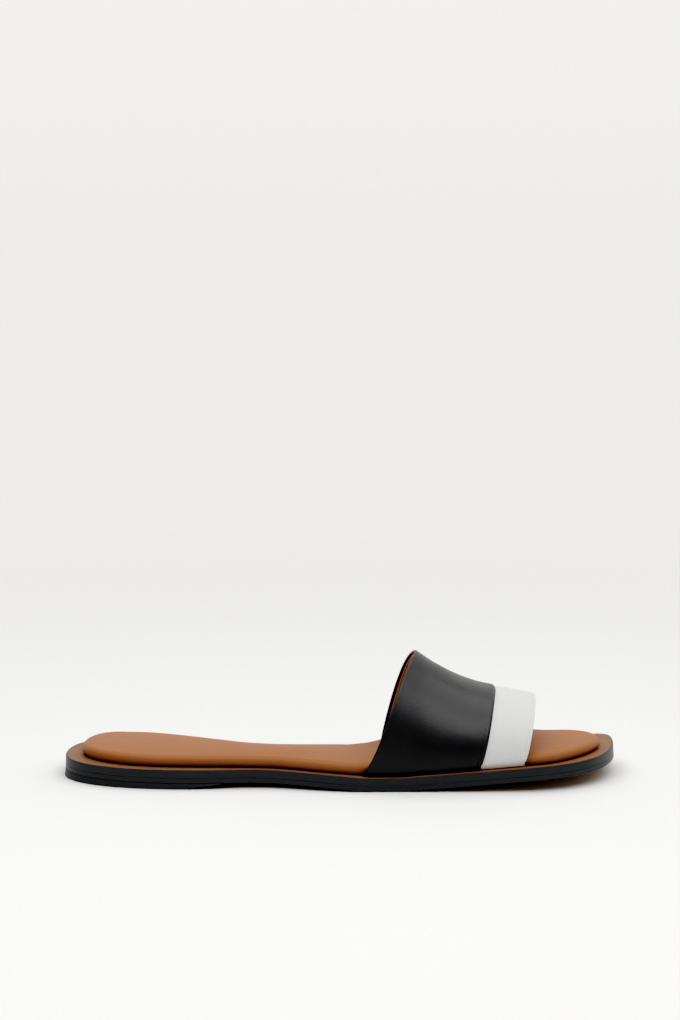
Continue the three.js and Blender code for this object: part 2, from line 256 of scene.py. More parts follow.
soleShape = {"from": 0, "to": length, "heel": sole["heel"], "toe": sole["toe"], "margin": lambda x, side: 0 * x}
padShape = {
    "from": pad["heelRim"],
    "to": length - pad["toeRim"],
    "heel": pad["heel"],
    "toe": pad["toe"],
    "margin": lambda x, side: pad["rim"] * rimCurves[side](x / length),
}


def loopOf(shape, steps, crowding=0.62):
    # Both sides of a shape as one loop of 2 * steps points. Each side is walked by length, crowded round the
    # ends by t - c sin(2 pi t) / (2 pi). The way in is the tangent turned a quarter turn.
    def sideOf(side):
        turn = np.linspace(0, np.pi, 6001)
        x = lerp(shape["from"], shape["to"], (1 - np.cos(turn)) / 2)
        y = edgeAt(x, side, shape)
        run = np.concatenate([[0], np.cumsum(np.hypot(np.diff(x), np.diff(y)))])
        t = np.linspace(0, 1, steps + 1)
        goal = run[-1] * (t - crowding * np.sin(2 * np.pi * t) / (2 * np.pi))
        return np.stack([np.interp(goal, run, x), np.interp(goal, run, y), goal], 1)

    outer, inner = sideOf("outer"), sideOf("inner")
    both = np.concatenate([outer, inner[-2:0:-1]])
    loop, run = both[:, :2], both[:, 2]
    along = np.roll(loop, -1, 0) - np.roll(loop, 1, 0)
    along /= np.linalg.norm(along, axis=1, keepdims=True)
    return loop, np.stack([-along[:, 1], along[:, 0]], 1), run


def spineOf(loop, shape, reach=26):
    # Each point of a loop has a partner on the middle line, which stops short of both ends: the mean x of
    # the point and its opposite, squeezed towards the middle, and halfway between the two sides
    opposite = loop[(len(loop) - np.arange(len(loop))) % len(loop)]
    whole = shape["to"] - shape["from"]
    x = shape["from"] + reach + ((loop + opposite)[:, 0] / 2 - shape["from"]) * (1 - 2 * reach / whole)
    y = (soleCurves["inner"](x / length) - soleCurves["outer"](x / length)) * ballWidth / 2
    return np.stack([x, y], 1)


def brokenEdges(above, below, apron=(3.2, 2, 1.3, 0.8), steps=4):
    # Profile of a leather's edge: aprons on the flat, a quarter arc, a straight wall, a quarter arc, aprons.
    # inset: way in from the outline; share: 0 at the lower face, 1 at the upper; raised: extra height.
    turn = np.linspace(0, np.pi / 2, steps + 1)
    apron = np.array(apron)
    inset = [above + apron, above * (1 - np.sin(turn)), [0, 0], below * (1 - np.sin(turn[::-1])), below + apron[::-1]]
    share = [apron * 0 + 1, turn * 0 + 1, [0.66, 0.33], turn * 0, apron * 0]
    raised = [apron * 0, above * (np.cos(turn) - 1), [0, 0], below * (1 - np.cos(turn[::-1])), apron * 0]
    return {"inset": np.concatenate(inset), "share": np.concatenate(share), "raised": np.concatenate(raised)}


def sheetRings(shape, bottom, top, profile, steps, rungs=(0, 0.25, 0.5, 0.75), crown=0, relief=None):
    # Rings from the middle of the upper face, out over the edge, to the middle of the lower face. On a face,
    # a rung at share s lies between spine and edge, raised by crown (1 - s^2). Walls stand square to the
    # sole's slope: x + slope (midsole top - z).
    loop, inward, run = loopOf(shape, steps)
    edge = loop + inward * profile["inset"][:, None, None]
    x = edge[..., 0]
    z = lerp(bottom(x), top(x), profile["share"][:, None]) + profile["raised"][:, None]
    spine = spineOf(loop, shape)
    s = np.array(rungs)[:, None, None]
    upper = spine + (edge[0] - spine) * s
    lower = spine + (edge[-1] - spine) * s[::-1]
    upperZ = top(upper[..., 0]) + crown * (1 - s[..., 0] ** 2)
    flat = np.concatenate([upper, edge, lower])
    height = np.concatenate([upperZ, z, bottom(lower[..., 0])])
    if relief is not None:
        height = height + relief(flat[..., 0], np.concatenate([s[:, 0, 0], 1 + 0 * profile["share"], s[::-1, 0, 0]]),
                                 np.concatenate([1 + 0 * s[:, 0, 0], profile["share"], 0 * s[:, 0, 0]]))
    slope = underside(flat[..., 0] + 0.5) - underside(flat[..., 0] - 0.5)
    lean = flat[..., 0] + slope * (midsoleTop(flat[..., 0]) - height)
    return np.stack([lean, flat[..., 1], height], -1), run


def sheetFaces(rings, size):
    # Quads between neighbouring closed rings. The first and the last ring are folded shut on the spine, so
    # there point i and its opposite are one.
    grid = np.arange(rings * size).reshape(rings, size)
    fold = (size - np.arange(size)) % size
    fold = np.minimum(np.arange(size), fold)
    grid[0] = grid[0][fold]
    grid[-1] = grid[-1][fold]
    around = np.roll(grid, -1, 1)
    return np.stack([grid[:-1], grid[1:], around[1:], around[:-1]], -1).reshape(-1, 4)


def makePiece(name, points, faces, materials, nodes=(), attributes=None, caps=()):
    # Puts an array of points and one of quads into a mesh, with its faces turned outwards: the sum of the
    # signed volumes under them is positive
    used = np.unique(np.concatenate([faces.ravel(), *[np.array(cap) for cap in caps]]).astype(int))
    renumber = np.zeros(len(points), int)
    renumber[used] = np.arange(len(used))
    points, faces = toFrame(points[used]), renumber[faces]
    a, b, c, d = (points[faces[:, k]] for k in range(4))
    volume = np.einsum("ij,ij->", a, np.cross(b, c)) + np.einsum("ij,ij->", a, np.cross(c, d))
    lists = [list(face) for face in faces.tolist()] + [renumber[np.array(cap)].tolist() for cap in caps]
    if volume < 0:
        lists = [face[::-1] for face in lists]
    mesh = bpy.data.meshes.new(name)
    mesh.from_pydata(points.tolist(), [], lists)
    mesh.polygons.foreach_set("use_smooth", np.ones(len(lists), bool))
    for label, values in (attributes or {}).items():
        layer = mesh.attributes.new(label, "FLOAT", "POINT")
        layer.data.foreach_set("value", np.asarray(values, np.float32).ravel()[used])
    for material in materials:
        mesh.materials.append(material)
    mesh.update()
    piece = bpy.data.objects.new(name, mesh)
    bpy.context.scene.collection.objects.link(piece)
    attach(piece, "root")
    if nodes:
        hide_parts(*nodes)
    return piece


def linear(hexColour):
    # sRGB hex to linear: ((c + 0.055) / 1.055)^2.4 above 0.04045, c / 12.92 below
    parts = [int(hexColour[i:i + 2], 16) / 255 for i in (1, 3, 5)]
    return (*[c / 12.92 if c <= 0.04045 else ((c + 0.055) / 1.055) ** 2.4 for c in parts], 1)


def addNode(tree, kind, inputs=None, **settings):
    # One node with its settings; inputs are values, or sockets to link
    node = tree.nodes.new(kind)
    for name, value in settings.items():
        setattr(node, name, value)
    for name, value in (inputs or {}).items():
        if isinstance(value, bpy.types.NodeSocket):
            tree.links.new(value, node.inputs[name])
        else:
            node.inputs[name].default_value = value
    return node


def newMaterial(name):
    material = bpy.data.materials.new(name)
    material.use_nodes = True
    tree = material.node_tree
    tree.nodes.clear()
    return material, tree


def leather(name, look):
    # Finished calf: the grain is small soft cells with fine hair pores, and the colour drifts a little over
    # the hide. grain, drift: sizes in mm; depth: height of the grain in mm.
    material, tree = newMaterial(name)
    place = addNode(tree, "ShaderNodeTexCoord").outputs["Object"]
    drift = addNode(tree, "ShaderNodeTexNoise", {"Vector": place, "Scale": 1 / (look["drift"] * mm), "Detail": 3,
                                                 "Roughness": 0.55})
    tone = addNode(tree, "ShaderNodeMix", {"Factor": drift.outputs["Fac"], 6: linear(look["deep"]),
                                           7: linear(look["pale"])}, data_type="RGBA")
    colour = tone.outputs[2]
    if "edge" in look:
        # Painted shade: the side of a pad is painted darker towards the crease, and its underside darkest
        creaseShade = addNode(tree, "ShaderNodeAttribute", attribute_name="creaseShade")
        colour = addNode(tree, "ShaderNodeMix", {"Factor": creaseShade.outputs["Fac"], 6: colour,
                                                 7: linear(look["edge"])}, data_type="RGBA").outputs[2]
    cells = addNode(tree, "ShaderNodeTexVoronoi", {"Vector": place, "Scale": 1 / (look["grain"] * mm),
                                                   "Smoothness": 0.6}, feature="SMOOTH_F1")
    pores = addNode(tree, "ShaderNodeTexNoise", {"Vector": place, "Scale": 2.2 / (look["grain"] * mm), "Detail": 2})
    height = addNode(tree, "ShaderNodeMath", {0: cells.outputs["Distance"], 1: pores.outputs["Fac"]}, operation="ADD")
    soft = addNode(tree, "ShaderNodeTexNoise", {"Vector": place, "Scale": 1 / (look["rumple"] * mm), "Detail": 2})
    rumpled = addNode(tree, "ShaderNodeBump", {"Height": soft.outputs["Fac"], "Strength": 1,
                                               "Distance": look["rumpleDepth"] * mm})
    grained = addNode(tree, "ShaderNodeBump", {"Height": height.outputs[0], "Strength": 1,
                                               "Distance": look["depth"] * mm, "Normal": rumpled.outputs["Normal"]})
    rough = addNode(tree, "ShaderNodeMapRange", {"Value": drift.outputs["Fac"], "From Min": 0.3, "From Max": 0.7,
                                                 "To Min": look["roughness"] - 0.04, "To Max": look["roughness"] + 0.04})
    shader = addNode(tree, "ShaderNodeBsdfPrincipled", {
        "Base Color": colour, "Roughness": rough.outputs["Result"], "Specular IOR Level": look["specular"],
        "Coat Weight": look.get("coat", 0), "Coat Roughness": look.get("coatRoughness", 0.3),
        "Sheen Weight": look.get("sheen", 0), "Normal": grained.outputs["Normal"],
    })
    addNode(tree, "ShaderNodeOutputMaterial", {"Surface": shader.outputs["BSDF"]})
    return material


def inkedLeather(name, look):
    # Sole leather, tan on its faces, with an edge that was inked, brushed and waxed: long streaks run along
    # it. ink is 1 on the edge; run is the length along the outline in mm.
    material, tree = newMaterial(name)
    place = addNode(tree, "ShaderNodeTexCoord").outputs["Object"]
    split = addNode(tree, "ShaderNodeSeparateXYZ", {"Vector": place})
    run = addNode(tree, "ShaderNodeAttribute", attribute_name="run")
    streakPlace = addNode(tree, "ShaderNodeCombineXYZ", {"X": run.outputs["Fac"], "Z": split.outputs["Z"]})
    stretched = addNode(tree, "ShaderNodeMapping", {"Vector": streakPlace.outputs[0],
                                                    "Scale": (1 / look["streakLength"], 1, 1 / (look["streak"] * mm))})
    streaks = addNode(tree, "ShaderNodeTexNoise", {"Vector": stretched.outputs[0], "Scale": 1, "Detail": 3,
                                                   "Roughness": 0.6})
    drift = addNode(tree, "ShaderNodeTexNoise", {"Vector": place, "Scale": 1 / (look["drift"] * mm), "Detail": 4,
                                                 "Roughness": 0.6})
    tan = addNode(tree, "ShaderNodeMix", {"Factor": drift.outputs["Fac"], 6: linear(look["tanDeep"]),
                                          7: linear(look["tanPale"])}, data_type="RGBA")
    black = addNode(tree, "ShaderNodeMix", {"Factor": streaks.outputs["Fac"], 6: linear(look["inkDeep"]),
                                            7: linear(look["inkPale"])}, data_type="RGBA")
    ink = addNode(tree, "ShaderNodeAttribute", attribute_name="ink")
    wander = addNode(tree, "ShaderNodeMath", {0: drift.outputs["Fac"], 1: 0.3, 2: -0.15}, operation="MULTIPLY_ADD")
    bled = addNode(tree, "ShaderNodeMath", {0: ink.outputs["Fac"], 1: wander.outputs[0]}, operation="ADD")
    covered = addNode(tree, "ShaderNodeMapRange", {"Value": bled.outputs[0], "From Min": 0.4, "From Max": 0.6})
    colour = addNode(tree, "ShaderNodeMix", {"Factor": covered.outputs["Result"], 6: tan.outputs[2],
                                             7: black.outputs[2]}, data_type="RGBA")
    rough = addNode(tree, "ShaderNodeMix", {"Factor": covered.outputs["Result"], 2: look["tanRoughness"],
                                            3: look["inkRoughness"]}, data_type="FLOAT")
    grain = addNode(tree, "ShaderNodeTexNoise", {"Vector": place, "Scale": 1 / (look["grain"] * mm), "Detail": 3})
    grained = addNode(tree, "ShaderNodeBump", {"Height": grain.outputs["Fac"], "Distance": look["depth"] * mm})
    brushed = addNode(tree, "ShaderNodeBump", {"Height": streaks.outputs["Fac"], "Strength": covered.outputs["Result"],
                                               "Distance": look["streakDepth"] * mm,
                                               "Normal": grained.outputs["Normal"]})
    shader = addNode(tree, "ShaderNodeBsdfPrincipled", {
        "Base Color": colour.outputs[2], "Roughness": rough.outputs[0], "Specular IOR Level": look["specular"],
        "Coat Weight": look.get("coat", 0), "Coat Roughness": look.get("coatRoughness", 0.3),
        "Normal": brushed.outputs["Normal"],
    })
    addNode(tree, "ShaderNodeOutputMaterial", {"Surface": shader.outputs["BSDF"]})
    return material


print("shapes ready")

# Outsole: 2.5 mm of vegetable-tanned sole leather. It also sets where the millimetre frame lies: its middle is
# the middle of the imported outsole.
outsoleProfile = brokenEdges(0.15, 0.4)
outsoleRings, outsoleRun = sheetRings(soleShape, underside, outsoleTop, outsoleProfile, 300)
low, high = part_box("outsole")
middle = (outsoleRings.reshape(-1, 3).min(0) + outsoleRings.reshape(-1, 3).max(0)) / 2
origin = np.array([middle[0] - (low.x + high.x) / 2 / mm, middle[1] - (low.y + high.y) / 2 / mm, 0])


def toFrame(points):
    return (np.asarray(points).reshape(-1, 3) - origin) * mm


def sheetPiece(name, shape, bottom, top, profile, inkOf, material, slot, node, steps=300, **more):
    rings, run = sheetRings(shape, bottom, top, profile, steps, **more)
    count = (len(rings) - len(profile["share"])) // 2
    ink = np.concatenate([np.full(count, inkOf(99, 1)), inkOf(profile["inset"], profile["share"]),
                          np.full(count, inkOf(99, 0))])
    ink = np.repeat(ink[:, None], rings.shape[1], 1)
    runs = np.repeat(run[None], len(rings), 0)
    return makePiece(name, rings.reshape(-1, 3), sheetFaces(len(rings), rings.shape[1]), [material], [node],
                     {"ink": ink, "run": runs})


soleLook = {
    "tanDeep": "#86705f", "tanPale": "#9c8370", "tanRoughness": 0.55,
    "inkDeep": "#3c3d3f", "inkPale": "#48494b", "inkRoughness": 0.4,
    "specular": 0.35, "drift": 9, "grain": 0.5, "depth": 0.03,
    "streak": 0.5, "streakLength": 14, "streakDepth": 0.06,
}
soleLeather = inkedLeather("vegetable-tanned sole leather", soleLook)
rimLook = {**soleLook, "tanDeep": "#865f48", "tanPale": "#a07558"}
rimLeather = inkedLeather("tan leather rim with inked edge", rimLook)
liftLook = {**soleLook, "tanDeep": "#1b1b1c", "tanPale": "#232324", "tanRoughness": 0.7, "inkRoughness": 0.5}
liftRubber = inkedLeather("black rubber top piece", liftLook)


def inkOutsole(inset, share):
    # Inked round the edge and a millimetre in on the underside
    return np.where(np.asarray(share) > 0.5, 1.0, 1 - ease((np.asarray(inset) - 0.6) / 1.2))


def inkMidsole(inset, share):
    # Inked over the arris and a millimetre in on the rim, whose top stays tan
    return np.where(np.asarray(share) > 0.9, 1 - ease((np.asarray(inset) - 0.5) / 0.9), 1.0)


def inkAll(inset, share):
    return 1.0 + 0 * np.asarray(inset)


glueLine = 0.02  # between the layers of the sole
outsole = sheetPiece("outsole_leather", soleShape, underside, outsoleTop, outsoleProfile, inkOutsole, soleLeather,
                     "outsole_leather", "outsole")
midsole = sheetPiece("midsole_leather", soleShape, lambda x: outsoleTop(x) + glueLine, midsoleTop,
                     brokenEdges(0.3, 0.15), inkMidsole, rimLeather, "midsole_leather", "midsole")
print("sole leathers made")

# Heel lift: flat on the floor, then curving up to a thin front edge
lift = {"flat": 0.212, "end": 0.292, "taper": 0.7, "flare": 0.4}


def liftTop(x):
    return underside(x) - glueLine


def liftBottom(x):
    share = ease((x / length - lift["flat"]) / (lift["end"] - lift["flat"]))
    return (liftTop(x) - lift["taper"]) * share


liftEnd = {side: soleCurves[side](lift["end"]) for side in signs}
liftShape = {**soleShape, "to": lift["end"] * length,
             "toe": {"centre": (liftEnd["inner"] - liftEnd["outer"]) / 2, "outer": (0.012, 4), "inner": (0.012, 4)}}
liftProfile = brokenEdges(0.15, 0.3, apron=(1.5, 0.7), steps=3)
liftProfile["inset"] = liftProfile["inset"] - lift["flare"] * (1 - liftProfile["share"])
heelLift = sheetPiece("heel_lift_rubber", liftShape, liftBottom, liftTop, liftProfile, inkAll, liftRubber,
                      "heel_lift", "heel_lift", steps=160)
print("heel lift made")

# Footbed pad: calf over foam. Its side rolls over a quarter superellipse and tucks in under itself.
padTurn = np.linspace(np.pi / 2, 0, 19)
padTuck = np.linspace(0, np.pi / 2, 7)[1:]
padPower = 2 / pad["squareness"]
padProfile = {
    "inset": np.concatenate([pad["round"] * (1 - np.cos(padTurn) ** padPower), pad["tuck"] * (1 - np.cos(padTuck))]),
    "share": np.concatenate([lerp(pad["fullest"], 1, np.sin(padTurn) ** padPower),
                             pad["fullest"] * (1 - np.sin(padTuck))]),
}
padProfile["raised"] = 0 * padProfile["share"]


def padRelief(x, across, share):
    # Where the band's margins are folded in under it, the pad rides up: a plateau along x on each side,
    # fading with the square of the way in to the middle
    half = x.shape[1] // 2
    isOuter = (np.arange(x.shape[1]) <= half)[None]
    rise = 0
    for side, here in (("outer", isOuter), ("inner", ~isOuter)):
        rear, front = placeCurves[side](0) * length, placeCurves[side](1) * length
        begin, full = pad["swellFrom"][side]
        swell = pad["swell"][side] * np.clip((x - rear - begin) / (full - begin), 0, 1) * (1 - ease((x - front + 9) / 9))
        under = pad["overMargin"] * ease((x - rear + 1) / 4) * (1 - ease((x - front + 5) / 5))
        rise = rise + np.where(here, lerp(under, swell, share[:, None]), 0)
    thinned = pad["toeThinner"] * ease((x / length - 0.8) / 0.06) * share[:, None]
    return rise * (across[:, None] ** 2) - thinned


# edge: the colour of the painted shade on the pad's side and underside
padLook = {
    "deep": "#a66942", "pale": "#ae714a", "edge": "#7d634e", "drift": 22, "grain": 0.6, "depth": 0.035,
    "rumple": 9, "rumpleDepth": 0.22, "roughness": 0.5, "specular": 0.4,
}
padRings, padRun = sheetRings(padShape, footbedBottom, lambda x: footbedBottom(x) + pad["thickness"], padProfile, 300,
                              rungs=tuple(np.linspace(0, 1, 15)[:-1]), crown=pad["crown"], relief=padRelief)
padCount = (len(padRings) - len(padProfile["share"])) // 2
# Painted shade: 0 over the top, growing down the side to 1 at the crease and over the underside
creaseShade = np.concatenate([np.zeros(padCount), (1 - padProfile["share"]) ** 1.2, np.ones(padCount)])
footbed = makePiece("footbed_pad", padRings.reshape(-1, 3), sheetFaces(len(padRings), padRings.shape[1]),
                    [leather("tan calf over foam", padLook)], ["footbed"],
                    {"creaseShade": np.repeat(creaseShade[:, None], padRings.shape[1], 1)})
print("footbed made")

wallInset = band["inset"] + band["dark"] + sole["gap"] + band["lining"]
wallShape = {**soleShape, "margin": lambda x, side: wallInset}


def bandStops(rows, folded):
    # Places across the band from one rim to the other. Up a side, angle runs from 0 to a quarter turn. A
    # folded sheet starts with its margin under the footbed and a quarter-round turn; an unfolded one
    # drops straight down to the midsole.
    angle = np.linspace(0, 1, rows) ** 1.2 * np.pi / 2
    if folded:
        reach = np.array([band["margin"], 6, 3.5, 2, 1.4])
        corner = np.linspace(0, np.pi / 2, 6)[:-1]
        before = len(reach) + len(corner)
        half = {
            "angle": np.concatenate([np.zeros(before), angle]),
            "corner": np.concatenate([0 * reach, corner, 0 * angle + np.pi / 2]),
            "reach": np.concatenate([reach - band["foldRadius"], 0 * corner, 0 * angle]),
            "drop": np.zeros(before + rows),
        }
    else:
        drop = np.linspace(band["lining"] + band["foldRadius"], 0, 4)[:-1]
        half = {
            "angle": np.concatenate([0 * drop, angle]),
            "corner": np.full(len(drop) + rows, np.pi / 2),
            "reach": np.zeros(len(drop) + rows),
            "drop": np.concatenate([drop, 0 * angle]),
        }
    stops = {key: np.concatenate([value, value[-2::-1]]) for key, value in half.items()}
    count = len(half["angle"])
    stops["outer"] = np.arange(2 * count - 1) < count
    return stops


def leanShare(angle, side):
    # How far forward an edge has leaned: (1 - eased)^lean on the outer side and 1 - eased^lean on the inner,
    # where eased is the way left to the crest with its last bit rounded off by a hyperbola
    left = 1 - 2 * angle / np.pi
    soft = band["crestEase"]
    eased = (np.hypot(left, soft) - soft) / (np.hypot(1, soft) - soft)
    if side == "inner":
        return 1 - eased ** band["lean"][side]
    return np.maximum(1 - eased, 0) ** band["lean"][side]


def bandFace(along, stops):
    # Inner face of the lining. From rim to crest, height goes as sin(angle)^(2/n) and width as
    # cos(angle)^(2/n), with n the squareness, and the sides swell a little in between.
    angle, outer = stops["angle"], stops["outer"]
    xFoot = np.where(outer, placeCurves["outer"](along), placeCurves["inner"](along)) * length
    xCrest = placeCurves["crest"](along) * length
    yFoot = np.where(outer, edgeAt(xFoot, "outer", wallShape), edgeAt(xFoot, "inner", wallShape))
    yCrest = (edgeAt(xCrest, "outer", soleShape) + edgeAt(xCrest, "inner", soleShape)) / 2
    yCrest = yCrest + band["crestShift"] * ballWidth
    sign = np.where(outer, -1, 1)
    rise = np.sin(angle) ** (2 / band["squareness"])
    outward = np.maximum(np.cos(angle), 0) ** (2 / band["squareness"])
    lean = np.where(outer, leanShare(angle, "outer"), leanShare(angle, "inner"))
    radius = band["foldRadius"]
    x = lerp(xFoot, xCrest, lean)
    y = lerp(yCrest, yFoot, outward) + sign * band["bulge"] * np.sin(np.pi * rise ** 0.8)
    y = y - sign * (radius * (1 - np.sin(stops["corner"])) + stops["reach"])
    seat = footbedBottom(xFoot) + band["lining"]
    zCrest = midsoleTop(xCrest) + band["instep"] * crestCurve(along)
    z = lerp(seat + radius, zCrest, rise) - radius * np.cos(stops["corner"]) - stops["drop"]
    return np.stack([x, y, z], -1)


def bandSurface(along, offset, stops):
    # A point that lies `offset` off the inner face: face + offset * unit(d face/d along x d face/d across)
    here = bandFace(along, stops)
    step = 0.002
    ahead = bandFace(along + step, stops) - bandFace(along - step, stops)
    across = np.gradient(here, axis=1)
    normal = np.cross(ahead, across)
    normal /= np.linalg.norm(normal, axis=-1, keepdims=True)
    return here + normal * offset[..., None]


def bandScale(edge, stops):
    # Millimetres per unit of `along` at an edge, for each place across
    step = 0.004
    one = np.full((1, len(stops["angle"])), edge)
    return np.linalg.norm(bandFace(one + step, stops) - bandFace(one - step, stops), axis=-1)[0] / (2 * step)


def wayAcross(stops):
    # -1 at the outer rim, 0 at the crest, 1 at the inner rim
    share = 1 - 2 * stops["angle"] / np.pi
    return np.where(stops["outer"], -share, share)


# Soft ridges that the leather keeps from lasting: where along and across, their reach, and their height
bandRidges = [
    {"along": 0.30, "across": -0.30, "reach": (0.16, 0.22), "height": 0.30},
    {"along": 0.62, "across": -0.42, "reach": (0.07, 0.30), "height": 0.22},
    {"along": 0.12, "across": -0.62, "reach": (0.10, 0.16), "height": 0.16},
    {"along": 0.46, "across": 0.24, "reach": (0.15, 0.24), "height": 0.30},
    {"along": 0.20, "across": 0.58, "reach": (0.12, 0.18), "height": 0.20},
    {"along": 0.84, "across": -0.50, "reach": (0.10, 0.20), "height": 0.10},
    {"along": 0.84, "across": 0.40, "reach": (0.10, 0.26), "height": 0.10},
]


def bandRelief(along, stops):
    across = wayAcross(stops)
    return sum(ridge["height"] * bell(along, ridge["along"], ridge["reach"][0])
               * bell(across, ridge["across"], ridge["reach"][1]) for ridge in bandRidges)


def sweptPiece(name, outside, inside, alongOut, alongIn, stops, material, slot, node, tucked=False):
    # A closed profile of two lines, its outside and its inside, carried across the band from rim to rim
    # and shut at both rims with a strip of quads. A tucked one turns in near the rim by
    # depth (1 - height above the midsole / reach)^2.
    line = np.concatenate([alongOut, alongIn[::-1]])
    offset = np.concatenate([outside, inside[::-1]])
    points = bandSurface(line, offset, stops)
    if tucked:
        low = np.clip(1 - (points[..., 2] - midsoleTop(points[..., 0])) / band["tuckHeight"], 0, 1.1)
        points[..., 1] += np.where(stops["outer"], 1, -1) * band["tuckDepth"] * low ** 2
    rows, width = line.shape
    grid = np.arange(rows * width).reshape(rows, width)
    around = np.roll(grid, -1, 0)
    sides = np.stack([grid[:, :-1], grid[:, 1:], around[:, 1:], around[:, :-1]], -1).reshape(-1, 4)
    half = len(alongOut)
    ends = []
    for column, turned in ((0, False), (width - 1, True)):
        out, back = grid[:half, column], grid[half:, column][::-1]
        strip = np.stack([out[:-1], out[1:], back[1:], back[:-1]], -1)
        ends.append(strip[:, ::-1] if turned else strip)
    faces = np.concatenate([sides, *ends])
    return makePiece(name, points.reshape(-1, 3), faces, [material], [node] if node else [])


def turnedSheet(edge, other, stops, look):
    # A leather from its cut end, over the band, round the lining's edge and in under it. d is the way from
    # the cut end and e the way from the turned edge, in mm. Its face is level, rolls down to the cut end
    # over an arc, dips under the stitches, and is skived thinner towards the turn.
    way = 1 if other > edge else -1
    edgeScale, otherScale = bandScale(edge, stops), bandScale(other, stops)
    fromEnd = np.array(look["endSteps"])
    fromEdge = np.array([9, 7.6, 6.3, 5.2, 4.4, 3.6, 3, 2.6, 2.2, 1.9, 1.6, 1.3, 1, look["round"]])
    nearEnd = other - way * fromEnd[:, None] / otherScale
    nearEdge = edge + way * fromEdge[:, None] / edgeScale
    t = np.linspace(0, 1, look["rows"] + 2)[1:-1, None]
    between = lerp(nearEnd[-1], nearEdge[0], t)
    flat = np.concatenate([nearEnd, between, nearEdge])
    d = np.abs(other - flat) * otherScale
    e = np.abs(flat - edge) * edgeScale
    top = look["top"] - look["skive"] * (1 - ease((e - look["round"]) / 6))
    arc = np.clip(look["roll"] - d, 0, None)
    top = top - (look["roll"] - np.sqrt(look["roll"] ** 2 - arc ** 2)) * look["rollDepth"] / look["roll"]
    top = top - look["endSink"] * (1 - ease(d / 3))
    for stitched in look["stitched"]:
        way2 = d if stitched["from"] == "end" else e
        top = top - stitched["depth"] * bell(way2, stitched["at"], 0.5)
    away = ease(d / 2) * ease(e / 4)
    top = top + away * bandRelief(flat, stops)
    radius = look["round"]
    centre = look["top"] - look["skive"] - radius
    bottom = look["bottom"] + (centre + 0.04 - look["bottom"]) * (1 - ease((e - 4.5) / 3))
    turn = np.linspace(0, np.pi, 13)[1:, None]
    arcOut = edge + way * (radius - radius * np.sin(turn)) / edgeScale
    arcIn = edge + way * (radius - 0.03 * np.sin(turn)) / edgeScale
    topOut = centre + radius * np.cos(turn) + 0 * arcOut
    topIn = centre + 0.04 * np.cos(turn) + 0 * arcOut
    tail = np.array([1.3, 1.9, 2.5, 3.2, 3.9, 4.0])[:, None]
    tailOut = edge + way * tail / edgeScale
    tip = np.array([0, 0, 0, 0, 0.05, 0.2])[:, None]
    outside = np.concatenate([top, topOut, centre - radius + tip + 0 * tailOut])
    inside = np.concatenate([bottom, topIn, centre - 0.04 + 0 * tailOut])
    line = np.concatenate([flat, arcOut, tailOut])
    lineIn = np.concatenate([flat, arcIn, tailOut])
    return outside, inside, line, lineIn


darkLook = {
    "deep": "#28282a", "pale": "#2f2f31", "drift": 18, "grain": 0.5, "depth": 0.03,
    "rumple": 7, "rumpleDepth": 0.12, "roughness": 0.36, "specular": 0.5,
}
lightLook = {
    "deep": "#d8d8d9", "pale": "#e0e0e0", "drift": 18, "grain": 0.5, "depth": 0.02,
    "rumple": 7, "rumpleDepth": 0.06, "roughness": 0.5, "specular": 0.4,
}
liningLook = {
    "deep": "#b07a55", "pale": "#bd8862", "drift": 14, "grain": 0.7, "depth": 0.04,
    "rumple": 9, "rumpleDepth": 0.08, "roughness": 0.6, "specular": 0.3,
}
darkCalf = leather("black drum-dyed calf", darkLook)
lightCalf = leather("off-white pigmented calf", lightLook)
liningLeather = leather("tan lining leather", liningLook)

openStops, foldedStops = bandStops(90, False), bandStops(90, True)
liningTop = band["lining"]
darkTop = band["lining"] + sole["gap"] + band["dark"]
lightTop = band["lining"] + sole["gap"] + band["light"]
endSteps = [0, 0.04, 0.12, 0.25, 0.42, 0.65, 0.9, 1.2, 1.5, 1.8, 2.1, 2.4, 2.8, 3.4, 4.4, 5.6]
darkSheet = turnedSheet(0, band["seam"], openStops, {
    "top": darkTop, "bottom": liningTop + 0.04, "round": 0.7, "skive": 0.1, "roll": 1.2, "rollDepth": 1.0, "endSink": 0, "rows": 34, "endSteps": endSteps,
    "stitched": [{"from": "end", "at": 2.2, "depth": 0.07}],
})
lightSheet = turnedSheet(1, band["seam"], openStops, {
    "top": lightTop, "bottom": liningTop + 0.04, "round": 0.48, "skive": 0, "roll": 0.15, "rollDepth": 0.1, "endSink": 0.35, "rows": 16, "endSteps": [0.08, *endSteps[1:]],
    "stitched": [{"from": "edge", "at": 1.7, "depth": 0.07}],
})
darkLeather = sweptPiece("band_dark_leather", *darkSheet, openStops, darkCalf, "dark_leather", "dark_panel",
                         tucked=True)
sweptPiece("band_light_leather", *lightSheet, openStops, lightCalf, "light_leather", "light_panel", tucked=True)

# Lining: it lies on both turned margins and stops short of the folds, and its own margins are folded in
# under the footbed
rearScale, frontScale = bandScale(0, foldedStops), bandScale(1, foldedStops)
rear, front = 0.95 / rearScale, 1 - 1.2 / frontScale
liningLine = lerp(rear, front, np.concatenate([[0, 0.002, 0.006], np.linspace(0.02, 0.98, 48), [0.994, 0.998, 1]])[:, None])
rounded = np.concatenate([[0.3, 0.08, 0], np.zeros(48), [0, 0.08, 0.3]])[:, None] + 0 * liningLine
sweptPiece("band_lining", liningTop - rounded, rounded, liningLine, liningLine, foldedStops, liningLeather,
           "lining_leather", "upper")
print("band made")


